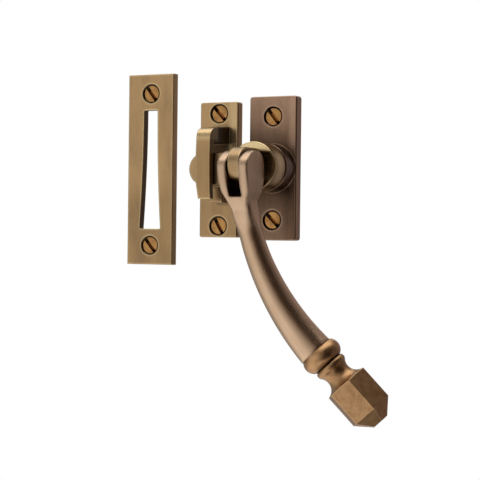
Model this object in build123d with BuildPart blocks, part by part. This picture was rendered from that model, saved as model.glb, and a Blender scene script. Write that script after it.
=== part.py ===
"""Casement fastener with its hook plate and mortice plate, modelled as one set."""
import math
import os

from build123d import *

# Units are mm. X runs right, Y runs into the wall, Z runs up.
# The origin is the centre of the back plate on the wall plane.

# Wood screws, slotted and countersunk at 90 degrees
screw_head_r = 3.0
screw_head_rim = 0.1
screw_shank_r = 1.75
screw_core_r = 1.3
screw_core_length = 10.5
screw_point_length = 4.5
screw_slot_width = 1.3
screw_slot_depth = 1.2
screw_seat_gap = 0.02
screw_hole_gap = 0.15
countersink_r = 3.65

# Back plate and its boss
back_width = 18.3
back_height = 51.0
back_thickness = 4.0
back_corner_r = 1.0
back_edge_r = 0.6
back_screw_inset = 7.2
boss_r = 8.5
boss_front = 10.7
boss_root_r = 0.5
boss_edge_r = 0.5
counterbore_r = 7.0
counterbore_depth = 4.4

# Spindle and its washers
spindle_r = 4.0
spindle_gap = 0.05
end_play = 0.05
friction_washer_r = 6.6
friction_washer_thickness = 1.3
tenon_r = 3.0
retaining_washer_r = 6.4
retaining_washer_thickness = 1.2
rivet_r = 4.3
rivet_height = 1.2
rivet_edge = 0.5

# Turret: drum, lug and nose
drum_r = 8.5
drum_length = 8.3
drum_edge_r = 0.35
lug_r = 6.0
lug_thickness = 4.5
lug_edge_r = 0.35
pin_from_wall = 29.6
side_cut_r = 10.6
nose_height = 11.4
nose_drop = 0.5
nose_thickness = 2.6
nose_set_in = 0.3
nose_reach = 27.6
nose_edge_r = 0.4

# Hinge pin of the handle
pin_r = 2.0
pin_gap = 0.05
pin_press_gap = 0.01
pin_blind = 1.4

# Handle: fork and arm, leaning towards the wall
handle_lean = 13.0
fork_width = 11.1
fork_gap = 0.15
pad_width = 13.8
pad_top = 4.75
pad_front_swell = 7.7
pad_front_swell_at = 10.4
pad_front_waist = 4.25
pad_front_waist_at = 12.2
pad_back_swell = 7.2
pad_back_swell_at = 6.2
pad_back_waist = 4.0
pad_back_waist_at = 8.2
pad_flat = 5.0
pad_low = 9.2
pad_low_width = 10.0
pad_draw_width = 9.0
pad_draw_at = 10.2
pad_waist_width = 7.6
pad_waist_at = 11.2
pad_edge_r = 0.35
fork_end = 16.0
fork_end_width = 4.8
fork_end_depth = 8.1
fork_end_drop = 17.0
crotch_depth = 8.6
crotch_slope = 10.5
crotch_corner_r = 0.8
neck_start = 6.0
neck_end = 14.0
neck_width = 7.6
neck_depth = 8.6
neck_square = 5.0
section_points = 16
arm_bend_start = 7.2
arm_bend_r = 85.0
arm_end_angle = 41.6
arm_tail = 1.2
arm_round_at = 22.0
arm_start_d = 8.0
arm_end_d = 12.5
arm_taper_power = 1.25
arm_sections = 16

# Knob: bead, collar, neck and six-sided end
knob_offset = 0.5
spigot_r = 3.0
spigot_length = 6.0
spigot_gap = 0.01
bead_r = 7.2
bead_length = 5.7
groove_r = 5.0
groove_edge_r = 5.5
groove_width = 0.5
collar_r = 5.75
collar_end_r = 5.35
collar_length = 2.0
cove_lead = 2.5
cove_r = 3.9
cove_neck_r = 4.45
hex_across_flats = 14.5
hex_length = 12.5
hex_tip_across_flats = 5.6
hex_tip_length = 4.8
hex_turn = 7.6

# Hook plate
hook_x = -21.6
hook_z = -0.3
hook_width = 15.2
hook_height = 48.7
hook_thickness = 3.5
hook_corner_r = 0.8
hook_edge_r = 0.5
hook_screw_inset = 4.15
strap_x = -20.4
strap_width = 5.7
strap_thickness = 2.3
strap_front = 17.6
strap_bow = 0.7
strap_top = 13.6
strap_bottom = -11.1
strap_root_top = 15.2
strap_root_bottom = 8.9
strap_shoulder_r = 3.6
strap_inner_r = 1.2
strap_taper = 0.8
strap_taper_height = 7.0
strap_edge_r = 0.3
block_x = -19.8
block_width = 5.6
block_front = 9.4
block_top = -6.4
block_bottom = -12.3
block_edge_r = 0.5

# Mortice plate
mortice_x = -50.1
mortice_z = 0.1
mortice_width = 19.0
mortice_height = 70.2
mortice_thickness = 3.2
mortice_edge = 0.25
mortice_screw_inset = 7.1
mortice_slot_height = 43.8
mortice_slot_top_width = 5.7
mortice_slot_bottom_width = 8.8
mortice_slot_corner_r = 0.4

# Turn of each screw's slot from upright, anticlockwise
back_screw_turns = (39.0, 46.0)
hook_screw_turns = (43.0, 30.0)
mortice_screw_turns = (38.0, 40.0)

# Values worked out from the sizes above
screw_hole_r = screw_shank_r + screw_hole_gap
back_screw_spacing = back_height - 2 * back_screw_inset
hook_screw_spacing = hook_height - 2 * hook_screw_inset
mortice_screw_spacing = mortice_height - 2 * mortice_screw_inset
drum_rear = boss_front + friction_washer_thickness + end_play
spindle_bore_r = spindle_r + spindle_gap
spindle_end = counterbore_depth - end_play
washer_rear = spindle_end - retaining_washer_thickness
prong_inner = lug_thickness / 2 + fork_gap
prong_outer = fork_width / 2
lean = math.radians(handle_lean)
arm_length = arm_bend_start + arm_bend_r * math.radians(arm_end_angle) + arm_tail
hex_corner_r = hex_across_flats / math.sqrt(3)
hex_taper = math.degrees(math.atan((hex_across_flats - hex_tip_across_flats) / 2 / hex_tip_length))


def wall_plane(out, x=0.0, z=0.0):
    """Plane parallel to the wall, this far out from it, facing the viewer."""
    return Plane((x, -out, z), (1, 0, 0), (0, -1, 0))


def side_plane(x):
    """Upright plane across the wall at this X, its own x pointing out of the wall, facing left."""
    return Plane((x, 0, 0), (0, -1, 0), (-1, 0, 0))


def arm_plane(travel):
    """Plane across the arm at this distance along its path from the pin: straight, bend, straight."""
    turn = min(max(travel - arm_bend_start, 0.0) / arm_bend_r, math.radians(arm_end_angle))
    right = arm_bend_r * (1 - math.cos(turn))
    down = arm_bend_start + arm_bend_r * math.sin(turn)
    centre = handle_plane.from_local_coords(Vector(right, -down, 0))
    across = handle_plane.x_dir * math.cos(turn) + handle_plane.y_dir * math.sin(turn)
    along = handle_plane.x_dir * math.sin(turn) - handle_plane.y_dir * math.cos(turn)
    return Plane(centre, across, along).offset(travel - arm_bend_start - arm_bend_r * turn)


def arm_shape(travel):
    """Width, depth and squareness of the arm at this distance along its path from the pin."""
    if travel < arm_round_at:
        share = max(travel - neck_end, 0.0) / (arm_round_at - neck_end)
        width = neck_width + (arm_start_d - neck_width) * share
        depth = neck_depth + (arm_start_d - neck_depth) * share
        return width, depth, neck_square + (2 - neck_square) * share
    share = (travel - arm_round_at) / (arm_length - arm_round_at)
    diameter = arm_start_d + (arm_end_d - arm_start_d) * share**arm_taper_power
    return diameter, diameter, 2


def soft_square(width, depth, power):
    """Points round a section that is an ellipse at power 2 and squarer above it."""
    points = []
    for step in range(section_points):
        turn = math.tau * step / section_points
        reach = (abs(math.cos(turn)) ** power + abs(math.sin(turn)) ** power) ** (-1 / power)
        points.append((reach * math.cos(turn) * width / 2, reach * math.sin(turn) * depth / 2))
    return points


# The handle's own plane through the pin, its side view, and the knob's planes
pin_centre = (0, -pin_from_wall, 0)
handle_plane = Plane(pin_centre, (1, 0, 0), (0, -math.cos(lean), -math.sin(lean)))
pad_plane = Plane(pin_centre, handle_plane.z_dir, (1, 0, 0))
crotch_plane = handle_plane.rotated((crotch_slope, 0, 0))
arm_end = arm_plane(arm_length)
knob_base = Plane(arm_end.from_local_coords(Vector(knob_offset, 0, 0)), arm_end.x_dir, arm_end.z_dir)
knob_side = Plane(knob_base.origin, knob_base.x_dir, knob_base.x_dir.cross(knob_base.z_dir))

# Back plate: softened plate, boss, spindle bore, rear counterbore and screw holes
with BuildPart() as back_plate:
    with BuildSketch(wall_plane(0)):
        RectangleRounded(back_width, back_height, back_corner_r)
    extrude(amount=back_thickness)
    fillet(back_plate.faces().sort_by(Axis.Y)[0].edges(), back_edge_r)
    with BuildSketch(wall_plane(back_thickness)):
        Circle(boss_r)
    extrude(amount=boss_front - back_thickness)
    boss_rims = back_plate.edges().filter_by(lambda e: e.geom_type == GeomType.CIRCLE and e.radius == boss_r)
    fillet(boss_rims.sort_by(Axis.Y)[-1], boss_root_r)
    boss_rims = back_plate.edges().filter_by(lambda e: e.geom_type == GeomType.CIRCLE and e.radius == boss_r)
    fillet(boss_rims.sort_by(Axis.Y)[0], boss_edge_r)
    with BuildSketch(wall_plane(0)):
        Circle(counterbore_r)
    extrude(amount=counterbore_depth, mode=Mode.SUBTRACT)
    with BuildSketch(wall_plane(0)):
        Circle(spindle_bore_r)
    extrude(amount=boss_front, mode=Mode.SUBTRACT)
    for side in (1, -1):
        with Locations(wall_plane(back_thickness, 0, side * back_screw_spacing / 2)):
            CounterSinkHole(screw_hole_r, countersink_r, back_thickness, 90)
back_plate.part.label = "back_plate"

# Friction washer between the boss and the drum
with BuildPart() as friction_washer:
    with BuildSketch(wall_plane(boss_front)):
        Circle(friction_washer_r)
        Circle(spindle_bore_r, mode=Mode.SUBTRACT)
    extrude(amount=friction_washer_thickness)
friction_washer.part.label = "friction_washer"

# Turret: nose, hollowed drum, lug, spindle, tenon and rivet head
nose_round = nose_height / 2
with BuildPart() as turret:
    with BuildSketch(wall_plane(drum_rear + nose_set_in, nose_round - nose_reach, -nose_drop)):
        Circle(nose_round)
        with Locations(((nose_reach - nose_round) / 2, 0)):
            Rectangle(nose_reach - nose_round, nose_height)
    extrude(amount=nose_thickness)
    fillet(turret.faces().filter_by(Axis.Y).edges(), nose_edge_r)
    with BuildSketch(wall_plane(drum_rear)):
        Circle(drum_r)
    extrude(amount=drum_length)
    fillet(turret.faces().sort_by(Axis.Y)[0].edges(), drum_edge_r)
    for side in (1, -1):
        with BuildSketch(Plane((side * lug_thickness / 2, -pin_from_wall, 0), (0, -1, 0), (side, 0, 0))):
            Circle(side_cut_r)
        extrude(amount=drum_r, mode=Mode.SUBTRACT)
    with BuildSketch(side_plane(lug_thickness / 2)):
        with Locations((pin_from_wall, 0)):
            Circle(lug_r)
        with Locations(((pin_from_wall + drum_rear + drum_length / 2) / 2, 0)):
            Rectangle(pin_from_wall - drum_rear - drum_length / 2, 2 * lug_r)
    extrude(amount=lug_thickness)
    lug_rims = turret.edges().filter_by(lambda e: e.geom_type == GeomType.CIRCLE and e.radius == lug_r)
    fillet(lug_rims, lug_edge_r)
    with BuildSketch(side_plane(lug_thickness / 2)):
        with Locations((pin_from_wall, 0)):
            Circle(pin_r + pin_gap)
    extrude(amount=lug_thickness, mode=Mode.SUBTRACT)
    with BuildSketch(wall_plane(spindle_end)):
        Circle(spindle_r)
    extrude(amount=drum_rear - spindle_end)
    with BuildSketch(wall_plane(washer_rear)):
        Circle(tenon_r)
    extrude(amount=spindle_end - washer_rear)
    with BuildSketch(wall_plane(washer_rear - rivet_height)):
        Circle(rivet_r)
    extrude(amount=rivet_height)
    chamfer(turret.faces().sort_by(Axis.Y)[-1].edges(), rivet_edge)
turret.part.label = "turret"

# Retaining washer held by the rivet head in the counterbore
with BuildPart() as retaining_washer:
    with BuildSketch(wall_plane(washer_rear)):
        Circle(retaining_washer_r)
        Circle(tenon_r + spindle_gap, mode=Mode.SUBTRACT)
    extrude(amount=retaining_washer_thickness)
retaining_washer.part.label = "retaining_washer"

# Hinge pin: flush with the left pad, blind in the right prong
with BuildPart() as fork_pin:
    with BuildSketch(side_plane(prong_inner + pin_blind)):
        with Locations((pin_from_wall, 0)):
            Circle(pin_r)
    extrude(amount=prong_inner + pin_blind + prong_outer)
fork_pin.part.label = "fork_pin"

# Handle: a fork drawn in towards the arm in both views, and an arm lofted from inside it along its bend
with BuildPart() as handle_arm:
    with BuildSketch(pad_plane):
        with BuildLine():
            EllipticalCenterArc((0, 0), pad_width / 2, pad_top, 180, arc_size=180)
            Bezier(
                (pad_width / 2, 0),
                (pad_front_swell, pad_front_swell_at),
                (pad_front_waist, pad_front_waist_at),
                (fork_end_depth / 2, fork_end),
            )
            Bezier(
                (-pad_width / 2, 0),
                (-pad_back_swell, pad_back_swell_at),
                (-pad_back_waist, pad_back_waist_at),
                (-fork_end_depth / 2, fork_end),
            )
            Line((-fork_end_depth / 2, fork_end), (fork_end_depth / 2, fork_end))
        make_face()
    extrude(amount=prong_outer, both=True)
    with BuildSketch(wall_plane(pin_from_wall)):
        with BuildLine():
            for side in (1, -1):
                Polyline(
                    (0, pad_width),
                    (side * prong_outer, pad_width),
                    (side * prong_outer, -pad_flat),
                    (side * pad_low_width / 2, -pad_low),
                )
                Bezier(
                    (side * pad_low_width / 2, -pad_low),
                    (side * pad_draw_width / 2, -pad_draw_at),
                    (side * pad_waist_width / 2, -pad_waist_at),
                    (side * fork_end_width / 2, -fork_end_drop),
                )
                Line((side * fork_end_width / 2, -fork_end_drop), (0, -fork_end_drop))
        make_face()
    extrude(amount=pad_width, both=True, mode=Mode.INTERSECT)
    hidden_end = handle_arm.faces().sort_by(Axis(pin_centre, handle_plane.y_dir))[0]
    fork_edges = handle_arm.edges().filter_by(GeomType.LINE, reverse=True) - hidden_end.edges()
    fillet(fork_edges, pad_edge_r)
    for step in range(arm_sections):
        travel = neck_start + (arm_length - neck_start) * step / (arm_sections - 1)
        with BuildSketch(arm_plane(travel)):
            with BuildLine():
                Spline(*soft_square(*arm_shape(travel)), periodic=True)
            make_face()
    loft()
    with BuildSketch(crotch_plane):
        with Locations((0, (pad_width - crotch_depth) / 2)):
            RectangleRounded(2 * prong_inner, pad_width + crotch_depth, crotch_corner_r)
    extrude(amount=pad_width, both=True, mode=Mode.SUBTRACT)
    with BuildSketch(knob_base):
        Circle(spigot_r + spigot_gap)
    extrude(amount=-spigot_length, mode=Mode.SUBTRACT)
    with BuildSketch(side_plane(prong_inner + pin_blind)):
        with Locations((pin_from_wall, 0)):
            Circle(pin_r + pin_press_gap)
    extrude(amount=prong_inner + pin_blind + prong_outer, mode=Mode.SUBTRACT)
handle_arm.part.label = "handle_arm"

# Knob: turned bead, groove, collar and cove, then six flats and a blunt point
collar_start = bead_length + groove_width
cove_start = collar_start + collar_length
cove_middle = cove_start + cove_lead
hex_start = cove_middle + cove_r
hex_end = hex_start + hex_length
with BuildPart() as knob:
    with BuildSketch(knob_side):
        with BuildLine():
            Polyline((0, -spigot_length), (spigot_r, -spigot_length), (spigot_r, 0), (arm_end_d / 2, 0))
            ThreePointArc((arm_end_d / 2, 0), (bead_r, bead_length / 2), (groove_edge_r, bead_length))
            Polyline(
                (groove_edge_r, bead_length),
                (groove_r, bead_length + groove_width / 2),
                (groove_edge_r, collar_start),
            )
            ThreePointArc(
                (groove_edge_r, collar_start),
                (collar_r, collar_start + collar_length * 0.35),
                (collar_end_r, cove_start),
            )
            ThreePointArc((collar_end_r, cove_start), (cove_neck_r, cove_middle), (hex_corner_r, hex_start))
            Polyline((hex_corner_r, hex_start), (hex_corner_r, hex_end), (0, hex_end), (0, -spigot_length))
        make_face()
    revolve(axis=Axis(knob_base.origin, knob_base.z_dir))
    with BuildSketch(knob_base.offset(cove_middle)):
        Circle(2 * hex_corner_r)
        RegularPolygon(hex_corner_r, 6, rotation=-hex_turn, mode=Mode.SUBTRACT)
    extrude(amount=hex_end - cove_middle, mode=Mode.SUBTRACT)
    with BuildSketch(knob_base.offset(hex_end)):
        RegularPolygon(hex_corner_r, 6, rotation=-hex_turn)
    extrude(amount=hex_tip_length, taper=hex_taper)
knob.part.label = "knob"

# Hook plate: softened plate, bowed hook open at the bottom, and a rest block under the nose
with BuildPart() as hook_plate:
    with BuildSketch(wall_plane(0, hook_x, hook_z)):
        RectangleRounded(hook_width, hook_height, hook_corner_r)
    extrude(amount=hook_thickness)
    fillet(hook_plate.faces().sort_by(Axis.Y)[0].edges(), hook_edge_r)
    with BuildSketch(wall_plane(hook_thickness, block_x, (block_top + block_bottom) / 2)):
        Rectangle(block_width, block_top - block_bottom)
    extrude(amount=block_front - hook_thickness)
    fillet(hook_plate.faces().sort_by(Axis.Y)[0].edges(), block_edge_r)
    strap_back = strap_front - strap_thickness
    strap_middle = (strap_root_bottom + strap_bottom) / 2
    with BuildSketch(side_plane(strap_x + strap_width / 2)) as strap:
        with BuildLine():
            Polyline(
                (strap_front, strap_top),
                (hook_thickness, strap_root_top),
                (hook_thickness, strap_root_bottom),
                (strap_back, strap_root_bottom),
            )
            ThreePointArc(
                (strap_back, strap_root_bottom),
                (strap_back + strap_bow, strap_middle),
                (strap_back, strap_bottom),
            )
            Line((strap_back, strap_bottom), (strap_front, strap_bottom))
            ThreePointArc(
                (strap_front, strap_bottom),
                (strap_front + strap_bow, strap_middle),
                (strap_front, strap_top),
            )
        make_face()
        fillet(strap.vertices().group_by(Axis.X)[-1].sort_by(Axis.Y)[-1], strap_shoulder_r)
        fillet(strap.vertices().sort_by_distance((strap_back, strap_root_bottom))[0], strap_inner_r)
    extrude(amount=strap_width)
    strap_left = strap_x - strap_width / 2
    with BuildSketch(wall_plane(strap_back - strap_thickness)):
        Polygon(
            (strap_left, strap_bottom + strap_taper_height),
            (strap_left, strap_bottom),
            (strap_left + strap_taper, strap_bottom),
            align=None,
        )
    extrude(amount=3 * strap_thickness, mode=Mode.SUBTRACT)
    strap_face = hook_plate.faces().filter_by(GeomType.CYLINDER).sort_by(Axis.Y)[0]
    fillet(strap_face.edges().filter_by(GeomType.CIRCLE), strap_edge_r)
    for side in (1, -1):
        with Locations(wall_plane(hook_thickness, hook_x, hook_z + side * hook_screw_spacing / 2)):
            CounterSinkHole(screw_hole_r, countersink_r, hook_thickness, 90)
hook_plate.part.label = "hook_plate"

# Mortice plate: the slot is narrow at the top and flares to the bottom along two arcs
slot_half = mortice_slot_height / 2
slot_top = mortice_slot_top_width / 2
slot_bottom = mortice_slot_bottom_width / 2
slot_middle = slot_top + (slot_bottom - slot_top) / 4
with BuildPart() as mortice_plate:
    with BuildSketch(wall_plane(0, mortice_x, mortice_z)):
        Rectangle(mortice_width, mortice_height)
    extrude(amount=mortice_thickness)
    chamfer(mortice_plate.faces().sort_by(Axis.Y)[0].edges(), mortice_edge)
    with BuildSketch(wall_plane(0, mortice_x, mortice_z)) as slot:
        with BuildLine():
            Line((-slot_top, slot_half), (slot_top, slot_half))
            ThreePointArc((slot_top, slot_half), (slot_middle, 0), (slot_bottom, -slot_half))
            Line((slot_bottom, -slot_half), (-slot_bottom, -slot_half))
            ThreePointArc((-slot_bottom, -slot_half), (-slot_middle, 0), (-slot_top, slot_half))
        make_face()
        fillet(slot.vertices(), mortice_slot_corner_r)
    extrude(amount=mortice_thickness, mode=Mode.SUBTRACT)
    for side in (1, -1):
        screw_z = mortice_z + side * mortice_screw_spacing / 2
        with Locations(wall_plane(mortice_thickness, mortice_x, screw_z)):
            CounterSinkHole(screw_hole_r, countersink_r, mortice_thickness, 90)
mortice_plate.part.label = "mortice_plate"

# Screws: each plate has one above and one below, with its own slot angle
plate_screws = (
    ("back_plate", 0.0, 0.0, back_thickness, back_screw_spacing, back_screw_turns),
    ("hook_plate", hook_x, hook_z, hook_thickness, hook_screw_spacing, hook_screw_turns),
    ("mortice_plate", mortice_x, mortice_z, mortice_thickness, mortice_screw_spacing, mortice_screw_turns),
)
cone_depth = countersink_r - screw_head_r - screw_seat_gap
head_depth = cone_depth - screw_head_rim
shank_depth = cone_depth + screw_head_r - screw_shank_r
screws = []
for plate, x, z, thickness, spacing, turns in plate_screws:
    for side, place, turn in ((1, "upper", turns[0]), (-1, "lower", turns[1])):
        face = wall_plane(thickness, x, z + side * spacing / 2)
        axial = Plane(face.origin, face.x_dir, (0, 0, 1))
        with BuildPart() as screw:
            with BuildSketch(axial):
                with BuildLine():
                    Polyline(
                        (0, head_depth),
                        (screw_head_r, head_depth),
                        (screw_head_r, cone_depth),
                        (screw_shank_r, shank_depth),
                        (screw_shank_r, thickness),
                        (screw_core_r, thickness),
                        (screw_core_r, thickness + screw_core_length),
                        (0, thickness + screw_core_length + screw_point_length),
                        (0, head_depth),
                    )
                make_face()
            revolve(axis=Axis(face.origin, (0, 1, 0)))
            with BuildSketch(face.offset(-head_depth)):
                Rectangle(screw_slot_width, 3 * screw_head_r, rotation=turn)
            extrude(amount=-screw_slot_depth, mode=Mode.SUBTRACT)
        screw.part.label = f"{plate}_screw_{place}"
        screws.append(screw)

os.makedirs("parts", exist_ok=True)
plates = (back_plate, hook_plate, mortice_plate)
movers = (friction_washer, turret, retaining_washer, fork_pin, handle_arm, knob)
for piece in (*plates, *movers, *screws):
    export_step(piece.part, f"parts/{piece.part.label}.step")
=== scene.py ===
"""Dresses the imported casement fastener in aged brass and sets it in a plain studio."""

from __future__ import annotations

import logging
import math
from dataclasses import dataclass
from enum import Enum
from typing import Any

import bmesh
import bpy
from mathutils import Matrix, Vector


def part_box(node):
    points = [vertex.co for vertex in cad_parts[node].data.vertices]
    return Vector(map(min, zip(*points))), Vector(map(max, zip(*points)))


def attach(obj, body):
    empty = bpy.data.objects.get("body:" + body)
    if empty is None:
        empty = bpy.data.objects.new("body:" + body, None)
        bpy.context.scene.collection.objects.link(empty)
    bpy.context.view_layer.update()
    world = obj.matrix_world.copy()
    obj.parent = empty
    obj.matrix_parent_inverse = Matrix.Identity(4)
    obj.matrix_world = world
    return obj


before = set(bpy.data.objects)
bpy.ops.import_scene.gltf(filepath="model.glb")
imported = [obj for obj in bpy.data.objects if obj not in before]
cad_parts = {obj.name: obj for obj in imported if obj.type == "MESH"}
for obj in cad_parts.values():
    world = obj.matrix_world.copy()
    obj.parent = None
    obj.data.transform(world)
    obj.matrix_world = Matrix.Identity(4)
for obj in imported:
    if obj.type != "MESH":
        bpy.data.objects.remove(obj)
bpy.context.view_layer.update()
LOG = logging.getLogger("casement_fastener")
MM = 0.001
SCREW_PLACES = ("upper", "lower")
WHITE = "#FFFFFF"
# Sockets of the Mix node when it mixes colours
MIX_FROM = 6
MIX_TO = 7
MIX_RESULT = 2
# Rays that feel for nearby surfaces at each shaded point
HOLLOW_RAYS = 8
EDGE_RAYS = 6
RUB_RAYS = 8


def linear(hex_colour: str) -> tuple[float, float, float, float]:
    """Turn an sRGB hex colour into linear values.

    Args:
        hex_colour: Six hex digits after a hash sign.

    Returns:
        Red, green, blue and an alpha of one.
    """
    shades = [int(hex_colour[i : i + 2], 16) / 255 for i in (1, 3, 5)]
    red, green, blue = (s / 12.92 if s <= 0.04045 else ((s + 0.055) / 1.055) ** 2.4 for s in shades)
    return red, green, blue, 1.0


def add_node(
    tree: bpy.types.NodeTree,
    kind: str,
    inputs: dict[str | int, Any] | None = None,
    **settings: Any,
) -> bpy.types.Node:
    """Add a node with its settings, its values and its links.

    Args:
        tree: Node tree that gets the node.
        kind: Node type after the common prefix ShaderNode.
        inputs: Socket name or number to a value, or to the output socket that feeds it.
        **settings: Attributes of the node itself.

    Returns:
        The new node.
    """
    node = tree.nodes.new("ShaderNode" + kind)
    for name, value in settings.items():
        setattr(node, name, value)
    for socket, value in (inputs or {}).items():
        if isinstance(value, bpy.types.NodeSocket):
            tree.links.new(value, node.inputs[socket])
        else:
            node.inputs[socket].default_value = value
    return node


def add_material(name: str) -> bpy.types.Material:
    """Make a material whose node tree is still empty.

    Args:
        name: Name of the material.

    Returns:
        The material.
    """
    made = bpy.data.materials.new(name)
    made.use_nodes = True
    made.node_tree.nodes.clear()
    return made


def add_object(name: str, bm: bmesh.types.BMesh) -> bpy.types.Object:
    """Turn a bmesh into a smooth object at the origin.

    Args:
        name: Name of the object and of its mesh.
        bm: Shape, freed here.

    Returns:
        The object, linked to the scene.
    """
    mesh = bpy.data.meshes.new(name)
    bm.to_mesh(mesh)
    bm.free()
    mesh.shade_smooth()
    made = bpy.data.objects.new(name, mesh)
    bpy.context.scene.collection.objects.link(made)
    return made


def dress(node: str, material: bpy.types.Material) -> None:
    """Give a CAD node its material.

    Args:
        node: Name of the node.
        material: Material for the whole node.
    """
    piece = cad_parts[node]
    if not piece.material_slots:
        piece.data.materials.append(material)
    for slot in piece.material_slots:
        slot.material = material
    LOG.info("dressed %s in %s", node, material.name)


def screw_names(*plates: str) -> list[str]:
    """Name the two screws of each plate."""
    return [f"{plate}_screw_{place}" for plate in plates for place in SCREW_PLACES]


class Lay(Enum):
    """Ways that the lines of the last polish run on a piece."""

    UPRIGHT = "upright"
    ALONG_ARM = "along the arm"
    ROUND_SPINDLE = "round the spindle"
    EVEN = "even"


class Form(Enum):
    """Shapes of a zone, seen from the front."""

    BLOCK = "block"
    ROUND = "round"


@dataclass(frozen=True)
class ArmBend:
    """The arc that the arm follows, so that its lines follow it too."""

    centre_mm: tuple[float, float, float] = (85.0, -27.98, -7.02)
    lean_deg: float = 13.0
    radius_mm: float = 85.0

    def coordinates(
        self, tree: bpy.types.NodeTree, place: bpy.types.NodeSocket
    ) -> bpy.types.NodeSocket:
        """Turn object coordinates into distance from the bend's axis, depth and distance along the arc.

        Args:
            tree: Node tree of the material.
            place: Object coordinates.

        Returns:
            The turned coordinates in metres.
        """
        turned = add_node(
            tree,
            "Mapping",
            {
                "Vector": place,
                "Location": [c * MM for c in self.centre_mm],
                "Rotation": (math.radians(90 + self.lean_deg), 0, 0),
                "Scale": (-1, 1, 1),
            },
            vector_type="TEXTURE",
        )
        split = add_node(tree, "SeparateXYZ", {0: turned.outputs[0]})
        across, upward, depth = split.outputs
        flat = add_node(tree, "CombineXYZ", {0: across, 1: upward})
        out = add_node(tree, "VectorMath", {0: flat.outputs[0]}, operation="LENGTH")
        angle = add_node(tree, "Math", {0: upward, 1: across}, operation="ARCTAN2")
        along = add_node(
            tree, "Math", {0: angle.outputs[0], 1: self.radius_mm * MM}, operation="MULTIPLY"
        )
        joined = add_node(
            tree, "CombineXYZ", {0: out.outputs["Value"], 1: depth, 2: along.outputs[0]}
        )
        return joined.outputs[0]


@dataclass(frozen=True)
class Zone:
    """Part of space in which the skin of a piece is painted darker (dirt and painted shade) and paler
    (wear and painted highlight) than elsewhere.
    """

    centre_mm: tuple[float, float, float]
    half_mm: tuple[float, float, float]
    share: float
    softness: float
    form: Form = Form.BLOCK

    def amount(
        self, tree: bpy.types.NodeTree, place: bpy.types.NodeSocket
    ) -> bpy.types.NodeSocket:
        """Measure how far a point lies inside the zone.

        Args:
            tree: Node tree of the material.
            place: Object coordinates.

        Returns:
            The share inside, fading to zero outside.
        """
        inside = add_node(
            tree,
            "Mapping",
            {
                "Vector": place,
                "Location": [c * MM for c in self.centre_mm],
                "Scale": [h * MM for h in self.half_mm],
            },
            vector_type="TEXTURE",
        )
        sizes = add_node(tree, "VectorMath", {0: inside.outputs[0]}, operation="ABSOLUTE")
        split = add_node(tree, "SeparateXYZ", {0: sizes.outputs[0]})
        across, depth, height = split.outputs
        if self.form is Form.ROUND:
            flat = add_node(tree, "CombineXYZ", {0: across, 1: height})
            length = add_node(tree, "VectorMath", {0: flat.outputs[0]}, operation="LENGTH")
            face = length.outputs["Value"]
        else:
            face = add_node(tree, "Math", {0: across, 1: height}, operation="MAXIMUM").outputs[0]
        furthest = add_node(tree, "Math", {0: face, 1: depth}, operation="MAXIMUM")
        fade = add_node(
            tree,
            "MapRange",
            {
                "Value": furthest.outputs[0],
                "From Min": 1 + self.softness,
                "From Max": 1 - self.softness,
                "To Max": self.share,
            },
            interpolation_type="SMOOTHSTEP",
        )
        return fade.outputs[0]


@dataclass(frozen=True)
class ScrewSeat:
    """Countersink of a screw, whose wall holds dark wax and painted shade and whose rim is painted pale,
    partly as wear and partly as highlight.
    """

    wall_radius_mm: float = 3.65
    wall_centre_mm: float = -2.0
    wall_half_mm: float = 3.0
    rim_radius_mm: float = 4.1
    rim_half_mm: float = 0.3
    head_sunk_mm: float = 0.65

    def walls(self, *plates: str) -> tuple[Zone, ...]:
        """Find the walls, which hold dark wax and painted shade.

        Args:
            *plates: CAD nodes of the plates.

        Returns:
            A round zone about each screw.
        """
        half = (self.wall_radius_mm, self.wall_half_mm, self.wall_radius_mm)
        middles = [sum(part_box(screw), Vector()) / (2 * MM) for screw in screw_names(*plates)]
        return tuple(
            Zone((m.x, self.wall_centre_mm, m.z), half, share=0.95, softness=0.03, form=Form.ROUND)
            for m in middles
        )

    def rims(self, *plates: str) -> tuple[Zone, ...]:
        """Find the rims, which lie on the plate's face, a little in front of the screw's head, and are
        painted paler, partly as wear and partly as highlight.

        Args:
            *plates: CAD nodes of the plates.

        Returns:
            A thin round zone about each screw.
        """
        half = (self.rim_radius_mm, self.rim_half_mm, self.rim_radius_mm)
        boxes = [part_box(screw) for screw in screw_names(*plates)]
        middles = [sum(box, Vector()) / (2 * MM) for box in boxes]
        faces = [low.y / MM - self.head_sunk_mm for low, _ in boxes]
        return tuple(
            Zone((m.x, face, m.z), half, share=0.22, softness=0.08, form=Form.ROUND)
            for m, face in zip(middles, faces)
        )


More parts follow.
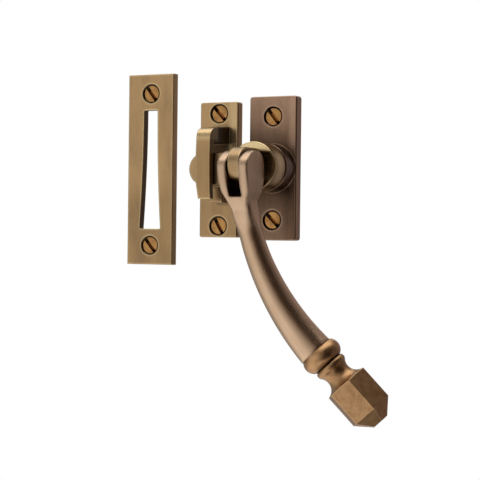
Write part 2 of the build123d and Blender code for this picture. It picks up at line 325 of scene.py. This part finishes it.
@dataclass(frozen=True)
class AgedBrass:
    """Brass, polished and chemically aged: a satin metal with fine lines, soft brown patches, painted
    shade in its hollows and paler edges that are partly worn and partly painted highlight.
    """

    name: str
    colour: str
    streak: str
    patina: str
    edge: str
    lay: Lay
    roughness: float = 0.3
    roughness_spread: float = 0.05
    gloss_range: tuple[float, float] = (0.3, 0.7)
    # Real polishing lines are about 0.05 mm wide, and are drawn as coarse as they need to show
    line_mm: float = 0.22
    line_length: float = 60.0
    line_range: tuple[float, float] = (0.35, 0.7)
    line_depth_mm: float = 0.006
    line_strength: float = 0.5
    streak_share: float = 0.35
    # Patches of the ageing bath, drawn out a little along the lay
    patch_mm: float = 6.0
    patch_length: float = 3.0
    patch_range: tuple[float, float] = (0.4, 0.7)
    patina_share: float = 0.45
    noise_detail: float = 3.0
    noise_roughness: float = 0.6
    # Edges look slightly rounded, and the paler strip along them is partly worn by hands and wheels and
    # partly painted highlight
    edge_mm: float = 0.3
    rub_and_highlight_mm: float = 0.5
    edge_share: float = 0.45
    edge_range: tuple[float, float] = (0.995, 0.85)
    # Narrow gaps hold dark wax and painted shade, and wide hollows get painted shade, darker than open
    # faces
    wax_and_shade_colour: str = "#22150C"
    gap_mm: float = 1.6
    gap_open: float = 0.95
    gap_shut: float = 0.45
    gap_share: float = 0.95
    shade_mm: float = 6.0
    shade_open: float = 0.9
    shade_shut: float = 0.4
    shade_share: float = 0.5
    soils_and_shades: tuple[Zone, ...] = ()
    rubs_and_highlights: tuple[Zone, ...] = ()

    def lay_space(
        self, tree: bpy.types.NodeTree, place: bpy.types.NodeSocket
    ) -> bpy.types.NodeSocket:
        """Give object coordinates, bent with the arm where the lay follows it."""
        return ArmBend().coordinates(tree, place) if self.lay is Lay.ALONG_ARM else place

    def grain(
        self, tree: bpy.types.NodeTree, space: bpy.types.NodeSocket, width_mm: float, length: float
    ) -> bpy.types.NodeSocket:
        """Make marks that are drawn out along the lay.

        Args:
            tree: Node tree of the material.
            space: Coordinates of the lay.
            width_mm: Width of a mark.
            length: Length of a mark in widths, unless the finish is even.

        Returns:
            A value about one half.
        """
        across = 1 / (width_mm * MM)
        along = across if self.lay is Lay.EVEN else across / length
        upright = (across, across, along)
        round_spindle = (along, across, along)
        sizes = round_spindle if self.lay is Lay.ROUND_SPINDLE else upright
        spread = add_node(tree, "Mapping", {"Vector": space, "Scale": sizes})
        noise = add_node(
            tree,
            "TexNoise",
            {
                "Vector": spread.outputs[0],
                "Scale": 1.0,
                "Detail": self.noise_detail,
                "Roughness": self.noise_roughness,
            },
        )
        return noise.outputs[0]

    def hollow(
        self, tree: bpy.types.NodeTree, reach_mm: float, open_at: float, shut_at: float, share: float
    ) -> bpy.types.NodeSocket:
        """Paint dark wax and shade into the places that other surfaces hem in.

        Args:
            tree: Node tree of the material.
            reach_mm: Distance within which other surfaces count.
            open_at: Openness that still gets no painted shade.
            shut_at: Openness that gets the full painted shade.
            share: Value there.

        Returns:
            Zero in the open, rising to the share in hollows.
        """
        openness = add_node(
            tree, "AmbientOcclusion", {"Distance": reach_mm * MM}, samples=HOLLOW_RAYS
        )
        soil_and_shade = add_node(
            tree,
            "MapRange",
            {
                "Value": openness.outputs["AO"],
                "From Min": open_at,
                "From Max": shut_at,
                "To Max": share,
            },
        )
        return soil_and_shade.outputs[0]

    def wax_and_shade(self, tree: bpy.types.NodeTree, place: bpy.types.NodeSocket) -> bpy.types.NodeSocket:
        """Gather the painted shade of hollows and gaps, and the zones of dirt and painted shade.

        Args:
            tree: Node tree of the material.
            place: Object coordinates.

        Returns:
            The share of dark wax and painted shade.
        """
        shade = self.hollow(tree, self.shade_mm, self.shade_open, self.shade_shut, self.shade_share)
        gaps = self.hollow(tree, self.gap_mm, self.gap_open, self.gap_shut, self.gap_share)
        most = add_node(tree, "Math", {0: shade, 1: gaps}, operation="MAXIMUM")
        for soil_and_shade in self.soils_and_shades:
            inside = soil_and_shade.amount(tree, place)
            most = add_node(tree, "Math", {0: most.outputs[0], 1: inside}, operation="MAXIMUM")
        return most.outputs[0]

    def wear_and_highlight(
        self, tree: bpy.types.NodeTree, place: bpy.types.NodeSocket, wax_and_shade: bpy.types.NodeSocket
    ) -> bpy.types.NodeSocket:
        """Gather the paler edges and the zones of wear and painted highlight.

        Args:
            tree: Node tree of the material.
            place: Object coordinates.
            wax_and_shade: Share of dark wax and painted shade, which keeps an edge from turning pale.

        Returns:
            The share of pale metal, partly bare and partly painted highlight.
        """
        flat_at, sharp_at = self.edge_range
        facing = add_node(tree, "NewGeometry").outputs["Normal"]
        rim = add_node(tree, "Bevel", {"Radius": self.rub_and_highlight_mm * MM}, samples=RUB_RAYS)
        same = add_node(tree, "VectorMath", {0: rim.outputs[0], 1: facing}, operation="DOT_PRODUCT")
        # Paler strip along edges: partly wear, partly painted highlight
        edge_wear_and_highlight = add_node(
            tree,
            "MapRange",
            {
                "Value": same.outputs["Value"],
                "From Min": flat_at,
                "From Max": sharp_at,
                "To Max": self.edge_share,
            },
        )
        clear_of_wax_and_shade = add_node(tree, "Math", {0: 1.0, 1: wax_and_shade}, operation="SUBTRACT")
        most = add_node(
            tree, "Math", {0: edge_wear_and_highlight.outputs[0], 1: clear_of_wax_and_shade.outputs[0]}, operation="MULTIPLY"
        )
        for rub_and_highlight in self.rubs_and_highlights:
            inside = rub_and_highlight.amount(tree, place)
            most = add_node(tree, "Math", {0: most.outputs[0], 1: inside}, operation="MAXIMUM")
        return most.outputs[0]

    def skin(
        self,
        tree: bpy.types.NodeTree,
        place: bpy.types.NodeSocket,
        lines: bpy.types.NodeSocket,
        cloud: bpy.types.NodeSocket,
    ) -> bpy.types.NodeSocket:
        """Lay the colours over each other: metal, lines, patches, dark wax with painted shade, and worn
        places with painted highlights.

        Args:
            tree: Node tree of the material.
            place: Object coordinates.
            lines: Value of the polishing lines.
            cloud: Value of the patches.

        Returns:
            The colour.
        """
        line_low, line_high = self.line_range
        patch_low, patch_high = self.patch_range
        wax_and_shade = self.wax_and_shade(tree, place)
        wear_and_highlight = self.wear_and_highlight(tree, place, wax_and_shade)
        streaks = add_node(
            tree,
            "MapRange",
            {"Value": lines, "From Min": line_low, "From Max": line_high, "To Max": self.streak_share},
        )
        patches = add_node(
            tree,
            "MapRange",
            {"Value": cloud, "From Min": patch_low, "From Max": patch_high, "To Max": self.patina_share},
        )
        coats = (
            (streaks.outputs[0], self.streak),
            (patches.outputs[0], self.patina),
            (wax_and_shade, self.wax_and_shade_colour),
            (wear_and_highlight, self.edge),
        )
        under: Any = linear(self.colour)
        for share, colour in coats:
            coat = add_node(
                tree,
                "Mix",
                {0: share, MIX_FROM: under, MIX_TO: linear(colour)},
                data_type="RGBA",
            )
            under = coat.outputs[MIX_RESULT]
        return under

    def material(self) -> bpy.types.Material:
        """Build the material.

        Returns:
            A metal whose colour, gloss and relief vary with the lines, the patches and the edges.
        """
        made = add_material(self.name)
        tree = made.node_tree
        place = add_node(tree, "TexCoord").outputs["Object"]
        space = self.lay_space(tree, place)
        lines = self.grain(tree, space, self.line_mm, self.line_length)
        cloud = self.grain(tree, space, self.patch_mm, self.patch_length)
        gloss_low, gloss_high = self.gloss_range
        gloss = add_node(
            tree,
            "MapRange",
            {
                "Value": lines,
                "From Min": gloss_low,
                "From Max": gloss_high,
                "To Min": self.roughness - self.roughness_spread,
                "To Max": self.roughness + self.roughness_spread,
            },
        )
        rounded = add_node(tree, "Bevel", {"Radius": self.edge_mm * MM}, samples=EDGE_RAYS)
        relief = add_node(
            tree,
            "Bump",
            {
                "Strength": self.line_strength,
                "Distance": self.line_depth_mm * MM,
                "Height": lines,
                "Normal": rounded.outputs[0],
            },
        )
        metal = add_node(
            tree,
            "BsdfPrincipled",
            {
                "Base Color": self.skin(tree, place, lines, cloud),
                "Metallic": 1.0,
                "Roughness": gloss.outputs[0],
                "Normal": relief.outputs[0],
            },
        )
        add_node(tree, "OutputMaterial", {"Surface": metal.outputs[0]})
        return made


# Walls of the long slot, behind its bright front edges, painted dark as shade
MORTICE_SLOT = Zone((-50.1, -1.6, 0.1), (5.2, 1.45, 23.0), share=0.8, softness=0.03)
# Lower ends of both keeps, a little darker
KEEP_FEET = Zone((-36.0, -2.0, -27.0), (26.0, 3.5, 20.0), share=0.18, softness=0.4)
# Space behind the hook, where the nose goes in, painted dark as deep shade
HOOK_MOUTH = Zone((-20.6, -8.9, 4.1), (3.3, 6.3, 10.5), share=0.93, softness=0.06)
# Side of the hook that faces the nose, painted darker as shade
HOOK_SIDE = Zone((-17.5, -10.5, 1.5), (0.35, 6.9, 12.8), share=0.5, softness=0.04)
# Block that the nose comes to rest on, painted a little darker as shade
HOOK_STOP = Zone((-19.8, -7.0, -9.3), (3.2, 3.2, 3.2), share=0.2, softness=0.25)
# Middle of the hook's bowed front, a little darker
HOOK_FRONT = Zone((-20.4, -18.0, -1.0), (4.0, 1.5, 9.0), share=0.2, softness=0.5)
# Upper bend of the hook, painted bright as a highlight
HOOK_BEND = Zone((-20.6, -15.5, 12.0), (4.2, 3.0, 2.2), share=0.35, softness=0.5)
# Right side of the hook plate's face, painted bright as a highlight
HOOK_RIM = Zone((-15.4, -3.5, 14.0), (1.9, 0.5, 12.5), share=0.27, softness=0.8)
# Plate's face round the foot of the boss, and the boss's side, painted dark as shade
BOSS_FOOT = Zone((0.0, -6.8, 0.0), (12.0, 3.5, 14.5), share=0.54, softness=0.25, form=Form.ROUND)
# Right side of the back plate's face, painted bright as a highlight
BACK_RIM = Zone((10.8, -3.5, 0.0), (3.4, 0.5, 24.0), share=0.3, softness=0.6)
# Hollow of the drum beside the fork, painted darker as shade
DRUM_HOLLOW = Zone((5.4, -23.0, -1.0), (3.4, 6.2, 7.4), share=0.25, softness=0.15)
# Nose near the drum, which lies under the hook when shut, painted darker as shade
NOSE_ROOT = Zone((-15.2, -13.5, 0.0), (7.4, 3.5, 7.0), share=0.38, softness=0.08)
# Rim of the drum behind the hollow, painted bright as a highlight
DRUM_SIDE = Zone((8.0, -15.8, 0.0), (2.2, 2.4, 9.0), share=0.45, softness=0.5)
# Upper front of the drum, painted bright as a highlight
DRUM_CROWN = Zone((0.0, -20.4, 8.0), (9.0, 0.5, 3.2), share=0.75, softness=0.2)
# Fork, a little darker than the arm
FORK = Zone((0.0, -29.6, -4.0), (9.0, 12.0, 12.0), share=0.18, softness=0.3)

SEAT = ScrewSeat()

# Cast brass, linished upright and aged olive: a satin sheen with upright lines, pale edges partly worn
# and partly painted highlight, painted shade in the slot, the screw seats and round the hook, and
# painted highlights on the hook's bend and right side
KEEP_BRASS = AgedBrass(
    name="linished_olive_brass",
    colour="#A98961",
    streak="#B8986E",
    patina="#7C664C",
    edge="#F2DAA8",
    lay=Lay.UPRIGHT,
    edge_share=0.65,
    edge_mm=0.6,
    rub_and_highlight_mm=1.2,
    shade_mm=5.0,
    shade_shut=0.45,
    shade_share=0.2,
    soils_and_shades=(
        *SEAT.walls("hook_plate", "mortice_plate"),
        MORTICE_SLOT,
        KEEP_FEET,
        HOOK_MOUTH,
        HOOK_SIDE,
        HOOK_STOP,
        HOOK_FRONT,
    ),
    rubs_and_highlights=(*SEAT.rims("hook_plate", "mortice_plate"), HOOK_RIM, HOOK_BEND),
)
# Cast brass, linished upright and aged brown: a satin sheen with painted shade that deepens towards the
# boss, and painted highlights along the right side and the screw rims
BACK_BRASS = AgedBrass(
    name="linished_brown_brass",
    colour="#9C7D66",
    streak="#AA8B73",
    patina="#6E523B",
    edge="#D8B498",
    lay=Lay.UPRIGHT,
    edge_share=0.6,
    rub_and_highlight_mm=1.2,
    shade_mm=22.0,
    shade_open=1.0,
    shade_shut=0.6,
    shade_share=0.85,
    soils_and_shades=(*SEAT.walls("back_plate"), BOSS_FOOT),
    rubs_and_highlights=(*SEAT.rims("back_plate"), BACK_RIM),
)
# Turned brass, aged olive: a smooth sheen with lines round the spindle, rims painted bright as
# highlights, and painted shade in the drum's hollow and on the nose
HEAD_BRASS = AgedBrass(
    name="turned_olive_brass",
    colour="#A58964",
    streak="#B39770",
    patina="#7E633C",
    edge="#F0D6A4",
    lay=Lay.ROUND_SPINDLE,
    line_depth_mm=0.002,
    streak_share=0.2,
    patina_share=0.3,
    edge_share=0.8,
    edge_mm=0.6,
    rub_and_highlight_mm=1.2,
    gap_mm=0.8,
    shade_share=0.0,
    soils_and_shades=(DRUM_HOLLOW, NOSE_ROOT),
    rubs_and_highlights=(DRUM_SIDE, DRUM_CROWN),
)
# Cast brass, brushed along its bend and aged brown: long soft highlights, pinkish beside the keeps, with
# painted shade in the crotch of the fork
HANDLE_BRASS = AgedBrass(
    name="brushed_brown_brass",
    colour="#CEAE90",
    streak="#D8B99B",
    patina="#A3835F",
    edge="#DBBA9D",
    lay=Lay.ALONG_ARM,
    line_depth_mm=0.004,
    streak_share=0.25,
    patina_share=0.3,
    edge_mm=1.5,
    soils_and_shades=(FORK,),
)
# Cast brass, blasted and waxed: an even golden satin, mottled, with paler edges partly worn and partly
# painted highlight, and painted shade in the cove
KNOB_BRASS = AgedBrass(
    name="blasted_golden_brass",
    colour="#B68E65",
    streak="#C0976D",
    patina="#916945",
    edge="#EBC592",
    lay=Lay.EVEN,
    roughness=0.36,
    patch_mm=2.2,
    patina_share=0.65,
    edge_share=0.75,
    rub_and_highlight_mm=0.8,
    shade_mm=4.0,
    shade_open=0.95,
    shade_shut=0.5,
    shade_share=0.75,
)
# Stamped brass, painted dark as shade: a thin dark line between the boss and the drum
SHADE_DARK_WASHER_BRASS = AgedBrass(
    name="shade_dark_washer_brass",
    colour="#4A3C2E",
    streak="#55463A",
    patina="#33281E",
    edge="#5C4B3A",
    lay=Lay.EVEN,
)
# Turned brass, nearly bare: warmer and yellower than the plates, with rusty brown painted shade in the
# slots and round the heads
SCREW_BRASS = AgedBrass(
    name="bright_screw_brass",
    colour="#AE824E",
    streak="#C4975F",
    patina="#6E4826",
    edge="#CE9E64",
    lay=Lay.EVEN,
    patch_mm=2.2,
    patina_share=0.6,
    wax_and_shade_colour="#74390F",
    shade_share=0.0,
)


@dataclass
class PlateSet:
    """Back plate, hook plate, mortice plate and their screws."""

    screw_plates: tuple[str, ...] = ("back_plate", "hook_plate", "mortice_plate")
    keep_plates: tuple[str, ...] = ("hook_plate", "mortice_plate")
    thread_pitch_mm: float = 1.35
    thread_core_mm: float = 1.3
    thread_crest_mm: float = 1.72
    thread_root_mm: float = 1.15
    thread_flank_mm: float = 0.42
    thread_start_mm: float = 0.9
    thread_runout_mm: float = 1.2
    core_length_mm: float = 10.5
    point_length_mm: float = 4.5
    steps_per_turn: int = 24

    def thread(self, screw: str, brass: bpy.types.Material) -> bpy.types.Object:
        """Wind a wood screw's thread round the plain core of one screw.

        Args:
            screw: CAD node that carries the thread.
            brass: Material of the thread.

        Returns:
            The thread, riding on the plates.
        """
        low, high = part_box(screw)
        centre = (low + high) / 2
        tip = self.core_length_mm + self.point_length_mm
        wound = tip - self.thread_runout_mm - self.thread_start_mm
        steps = int(wound / self.thread_pitch_mm * self.steps_per_turn)
        profile = (
            (self.thread_root_mm, self.thread_start_mm - self.thread_flank_mm),
            (self.thread_crest_mm, self.thread_start_mm),
            (self.thread_root_mm, self.thread_start_mm + self.thread_flank_mm),
        )
        bm = bmesh.new()
        corners = [bm.verts.new((out, back, 0)) for out, back in profile]
        following = corners[1:] + corners[:1]
        sides = [bm.edges.new(pair) for pair in zip(corners, following)]
        bmesh.ops.spin(
            bm,
            geom=corners + sides,
            cent=(0, 0, 0),
            axis=(0, 1, 0),
            dvec=(0, self.thread_pitch_mm / self.steps_per_turn, 0),
            angle=math.tau * steps / self.steps_per_turn,
            steps=steps,
            use_duplicate=False,
        )
        open_ends = [edge for edge in bm.edges if edge.is_boundary]
        bmesh.ops.holes_fill(bm, edges=open_ends, sides=len(profile))
        for vert in bm.verts:
            self.taper(vert, tip)
        bmesh.ops.recalc_face_normals(bm, faces=bm.faces)
        place = Matrix.Translation((centre.x, 0, centre.z)) @ Matrix.Scale(MM, 4)
        bmesh.ops.transform(bm, matrix=place, verts=bm.verts)
        made = add_object(f"{screw}_thread", bm)
        made.data.materials.append(brass)
        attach(made, "plates")
        return made

    def taper(self, vert: bmesh.types.BMVert, tip: float) -> None:
        """Run the thread out at its start and down the point.

        Args:
            vert: Corner of the thread, in millimetres about the screw's axis.
            tip: Distance of the screw's tip behind the wall plane.
        """
        out = math.hypot(vert.co.x, vert.co.z)
        begin = min(1.0, max(0.0, (vert.co.y - self.thread_start_mm) / self.thread_pitch_mm))
        point = min(1.0, max(0.0, (tip - vert.co.y) / self.point_length_mm))
        height = max(0.0, out - self.thread_core_mm) * begin
        wanted = (min(out, self.thread_core_mm) + height) * point
        vert.co.x *= wanted / out
        vert.co.z *= wanted / out

    def build(self) -> list[bpy.types.Object]:
        """Dress the plates and screws and add the threads.

        Returns:
            The new pieces.
        """
        keep = KEEP_BRASS.material()
        brass = SCREW_BRASS.material()
        screws = screw_names(*self.screw_plates)
        dress("back_plate", BACK_BRASS.material())
        for plate in self.keep_plates:
            dress(plate, keep)
        for screw in screws:
            dress(screw, brass)
        return [self.thread(screw, brass) for screw in screws]


@dataclass
class TurningHead:
    """Turret with its nose, and the two washers on its spindle."""

    washers: tuple[str, ...] = ("friction_washer", "retaining_washer")

    def build(self) -> None:
        """Dress the turret and its washers."""
        # The washers are painted dark as the shade in the gap between the boss and the drum
        dark = SHADE_DARK_WASHER_BRASS.material()
        dress("turret", HEAD_BRASS.material())
        for washer in self.washers:
            dress(washer, dark)


@dataclass
class Handle:
    """Forked arm, hinge pin and knob."""

    brushed: tuple[str, ...] = ("handle_arm", "fork_pin")

    def build(self) -> None:
        """Dress the arm, the pin and the knob."""
        brass = HANDLE_BRASS.material()
        for piece in self.brushed:
            dress(piece, brass)
        dress("knob", KNOB_BRASS.material())


@dataclass(frozen=True)
class Panel:
    """Upright curved panel round the object, graded from end to end, which the metal mirrors."""

    name: str
    span_deg: tuple[float, float]
    glow: tuple[float, float]
    tints: tuple[str, str] = (WHITE, WHITE)
    low_share: float = 1.0
    high_share: float = 1.0
    horizon_m: float = -0.02
    fade_m: float = 0.2
    low_m: float = -0.9
    high_m: float = 2.6
    radius_m: float = 1.3
    steps: int = 24

    def paper(self) -> bpy.types.Material:
        """Make the panel's graded paper, whose tint turns in the second half of the span.

        Returns:
            A glowing material that follows the angle round the upright axis and the height.
        """
        made = add_material(self.name)
        tree = made.node_tree
        start, end = (math.radians(angle) for angle in self.span_deg)
        half = (end - start) / 2
        from_glow, to_glow = self.glow
        from_tint, to_tint = self.tints
        place = add_node(tree, "TexCoord").outputs["Object"]
        turned = add_node(
            tree,
            "VectorRotate",
            {"Vector": place, "Angle": -(start + end) / 2},
            rotation_type="Z_AXIS",
        )
        split = add_node(tree, "SeparateXYZ", {0: turned.outputs[0]})
        side, rear, height = split.outputs
        front = add_node(tree, "Math", {0: rear, 1: -1.0}, operation="MULTIPLY")
        angle = add_node(tree, "Math", {0: side, 1: front.outputs[0]}, operation="ARCTAN2")
        level = add_node(
            tree,
            "MapRange",
            {
                "Value": angle.outputs[0],
                "From Min": -half,
                "From Max": half,
                "To Min": from_glow,
                "To Max": to_glow,
            },
        )
        rise = add_node(
            tree,
            "MapRange",
            {
                "Value": height,
                "From Min": self.horizon_m - self.fade_m,
                "From Max": self.horizon_m + self.fade_m,
                "To Min": self.low_share,
                "To Max": self.high_share,
            },
        )
        graded = add_node(
            tree, "Math", {0: level.outputs[0], 1: rise.outputs[0]}, operation="MULTIPLY"
        )
        colour: Any = linear(from_tint)
        if to_tint != from_tint:
            turn = add_node(tree, "MapRange", {"Value": angle.outputs[0], "From Max": half})
            tint = add_node(
                tree,
                "Mix",
                {0: turn.outputs[0], MIX_FROM: colour, MIX_TO: linear(to_tint)},
                data_type="RGBA",
            )
            colour = tint.outputs[MIX_RESULT]
        light = add_node(tree, "Emission", {"Color": colour, "Strength": graded.outputs[0]})
        add_node(tree, "OutputMaterial", {"Surface": light.outputs[0]})
        return made

    def build(self) -> None:
        """Spin the panel about the upright axis and leave it out of the camera's sight."""
        start, end = (math.radians(angle) for angle in self.span_deg)
        bm = bmesh.new()
        ends = [bm.verts.new((0, -self.radius_m, z)) for z in (self.low_m, self.high_m)]
        side = bm.edges.new(ends)
        bmesh.ops.transform(bm, matrix=Matrix.Rotation(start, 4, "Z"), verts=ends)
        bmesh.ops.spin(
            bm,
            geom=[*ends, side],
            cent=(0, 0, 0),
            axis=(0, 0, 1),
            angle=end - start,
            steps=self.steps,
            use_duplicate=False,
        )
        made = add_object(self.name, bm)
        made.data.materials.append(self.paper())
        made.visible_camera = False


@dataclass(frozen=True)
class Card:
    """Level glowing card under the object, which its lower sides mirror."""

    name: str
    centre_m: tuple[float, float, float]
    radius_m: float
    glow: float
    segments: int = 48

    def paper(self) -> bpy.types.Material:
        """Make the card's evenly lit paper.

        Returns:
            A glowing material.
        """
        made = add_material(self.name)
        tree = made.node_tree
        light = add_node(tree, "Emission", {"Color": linear(WHITE), "Strength": self.glow})
        add_node(tree, "OutputMaterial", {"Surface": light.outputs[0]})
        return made

    def build(self) -> None:
        """Lay the card and leave it out of the camera's sight."""
        bm = bmesh.new()
        bmesh.ops.create_circle(bm, cap_ends=True, segments=self.segments, radius=self.radius_m)
        bmesh.ops.translate(bm, verts=bm.verts, vec=self.centre_m)
        made = add_object(self.name, bm)
        made.data.materials.append(self.paper())
        made.visible_camera = False


@dataclass(frozen=True)
class Softbox:
    """Square lamp aimed at the object."""

    name: str
    place_m: tuple[float, float, float]
    side_m: float
    watts: float

    def build(self) -> None:
        """Place the lamp and turn it to the object."""
        data = bpy.data.lights.new(self.name, "AREA")
        data.shape = "SQUARE"
        data.size = self.side_m
        data.energy = self.watts
        lamp = bpy.data.objects.new(self.name, data)
        lamp.location = self.place_m
        lamp.rotation_mode = "QUATERNION"
        lamp.rotation_quaternion = (-Vector(self.place_m)).to_track_quat("-Z", "Y")
        bpy.context.scene.collection.objects.link(lamp)


# Tints of the panels: warm at the right front, fainter beside and behind the object
WARM = "#FFD6BC"
FAINT_WARM = "#FFECE6"
FAINT_ROSE = "#FFF0F0"
# Height at which the front panels turn darker, so that tops that lean forward stay calm
FRONT_HORIZON_M = 0.42
FRONT_FADE_M = 0.12


@dataclass
class Studio:
    """Camera, white surroundings, floor, panels, cards and lamps."""

    camera_mm: tuple[float, float, float] = (207.89, -452.99, -22.64)
    yaw_deg: float = 26.137
    pitch_deg: float = 0.325
    roll_deg: float = 0.663
    focal_px: float = 1400.0
    picture_px: float = 480.0
    sensor_mm: float = 36.0
    near_m: float = 0.01
    far_m: float = 20.0
    floor_m: float = -1.0
    floor_side_m: float = 8.0
    floor_colour: str = "#F2F2F2"
    soft_light: float = 0.9
    panels: tuple[Panel, ...] = (
        Panel(
            "front_left_panel",
            span_deg=(-62.0, -36.0),
            glow=(1.0, 1.0),
            low_share=0.86,
            high_share=0.6,
            horizon_m=FRONT_HORIZON_M,
            fade_m=FRONT_FADE_M,
        ),
        Panel(
            "front_near_panel",
            span_deg=(-36.0, -20.0),
            glow=(1.04, 1.04),
            high_share=0.5,
            horizon_m=FRONT_HORIZON_M,
            fade_m=FRONT_FADE_M,
        ),
        Panel(
            "front_panel",
            span_deg=(-20.0, 38.0),
            glow=(1.05, 0.03),
            tints=(WHITE, WARM),
            high_share=0.7,
            horizon_m=FRONT_HORIZON_M,
            fade_m=FRONT_FADE_M,
        ),
        Panel("right_panel", span_deg=(38.0, 92.0), glow=(0.03, 0.05), tints=(WARM, FAINT_WARM)),
        Panel(
            "right_side_panel",
            span_deg=(92.0, 125.0),
            glow=(0.22, 0.22),
            tints=(FAINT_ROSE, FAINT_ROSE),
            high_share=0.72,
        ),
        Panel(
            "right_rear_panel",
            span_deg=(125.0, 185.0),
            glow=(0.23, 0.27),
            tints=(FAINT_ROSE, FAINT_ROSE),
            high_share=1.35,
        ),
        Panel("left_rear_panel", span_deg=(195.0, 275.0), glow=(0.2, 0.5)),
        Panel("left_panel", span_deg=(275.0, 298.0), glow=(0.5, 1.0)),
    )
    cards: tuple[Card, ...] = (
        Card("under_card", centre_m=(0.32, 0.1, -0.6), radius_m=0.32, glow=0.27),
        Card("low_left_card", centre_m=(-0.6, -0.4, -0.75), radius_m=0.5, glow=1.18),
    )
    lamps: tuple[Softbox, ...] = (
        Softbox("top_softbox", place_m=(-0.15, 0.1, 1.1), side_m=1.7, watts=9.0),
    )

    def camera(self) -> None:
        """Put the camera where the photograph was taken from."""
        yaw, pitch, roll = (math.radians(a) for a in (self.yaw_deg, self.pitch_deg, self.roll_deg))
        level = math.cos(pitch)
        back = Vector((math.sin(yaw) * level, -math.cos(yaw) * level, math.sin(pitch)))
        right = Vector((math.cos(yaw), math.sin(yaw), 0))
        up = back.cross(right)
        across = math.cos(roll) * right + math.sin(roll) * up
        upward = -math.sin(roll) * right + math.cos(roll) * up
        data = bpy.data.cameras.new("photo_camera")
        data.sensor_width = self.sensor_mm
        data.lens = self.focal_px / self.picture_px * self.sensor_mm
        data.clip_start = self.near_m
        data.clip_end = self.far_m
        camera = bpy.data.objects.new("photo_camera", data)
        turn = Matrix((across, upward, back)).transposed().to_4x4()
        camera.matrix_world = Matrix.Translation(Vector(self.camera_mm) * MM) @ turn
        bpy.context.scene.collection.objects.link(camera)
        bpy.context.scene.camera = camera

    def seen_white(self, tree: bpy.types.NodeTree) -> bpy.types.NodeSocket:
        """Tell rays that show the surroundings from rays that light the object.

        Args:
            tree: Node tree of the world or of the floor.

        Returns:
            One for camera, glossy and transmission rays, otherwise zero.
        """
        path = add_node(tree, "LightPath")
        shown = path.outputs["Is Camera Ray"]
        for ray in ("Is Glossy Ray", "Is Transmission Ray"):
            either = add_node(tree, "Math", {0: shown, 1: path.outputs[ray]}, operation="MAXIMUM")
            shown = either.outputs[0]
        return shown

    def world(self) -> None:
        """Surround the object with white, a little softer where it only gives light."""
        world = bpy.data.worlds.new("white_studio")
        world.use_nodes = True
        tree = world.node_tree
        tree.nodes.clear()
        light = add_node(tree, "Background", {"Color": linear(WHITE), "Strength": self.soft_light})
        white = add_node(tree, "Background", {"Color": linear(WHITE), "Strength": 1.0})
        mixed = add_node(
            tree, "MixShader", {0: self.seen_white(tree), 1: light.outputs[0], 2: white.outputs[0]}
        )
        add_node(tree, "OutputWorld", {"Surface": mixed.outputs[0]})
        bpy.context.scene.world = world

    def floor(self) -> None:
        """Lay a wide pale floor far below the object, which hangs on no wall here."""
        bm = bmesh.new()
        bmesh.ops.create_grid(bm, x_segments=1, y_segments=1, size=self.floor_side_m / 2)
        bmesh.ops.translate(bm, verts=bm.verts, vec=(0, 0, self.floor_m))
        made = add_object("floor", bm)
        material = add_material("white_floor")
        tree = material.node_tree
        matt = add_node(tree, "BsdfDiffuse", {"Color": linear(self.floor_colour)})
        white = add_node(tree, "Emission", {"Color": linear(WHITE), "Strength": 1.0})
        mixed = add_node(
            tree, "MixShader", {0: self.seen_white(tree), 1: matt.outputs[0], 2: white.outputs[0]}
        )
        add_node(tree, "OutputMaterial", {"Surface": mixed.outputs[0]})
        made.data.materials.append(material)

    def build(self) -> None:
        """Set the studio up."""
        bpy.context.scene.view_settings.view_transform = "Standard"
        self.camera()
        self.world()
        self.floor()
        for fitting in (*self.panels, *self.cards, *self.lamps):
            fitting.build()


def main() -> None:
    """Build the studio and dress the fastener, piece by piece."""
    logging.basicConfig(level=logging.INFO, format="%(name)s: %(message)s")
    Studio().build()
    threads = PlateSet().build()
    TurningHead().build()
    Handle().build()
    for thread in threads:
        LOG.info("wound %s with %d faces", thread.name, len(thread.data.polygons))


if __name__ == "__main__":
    main()
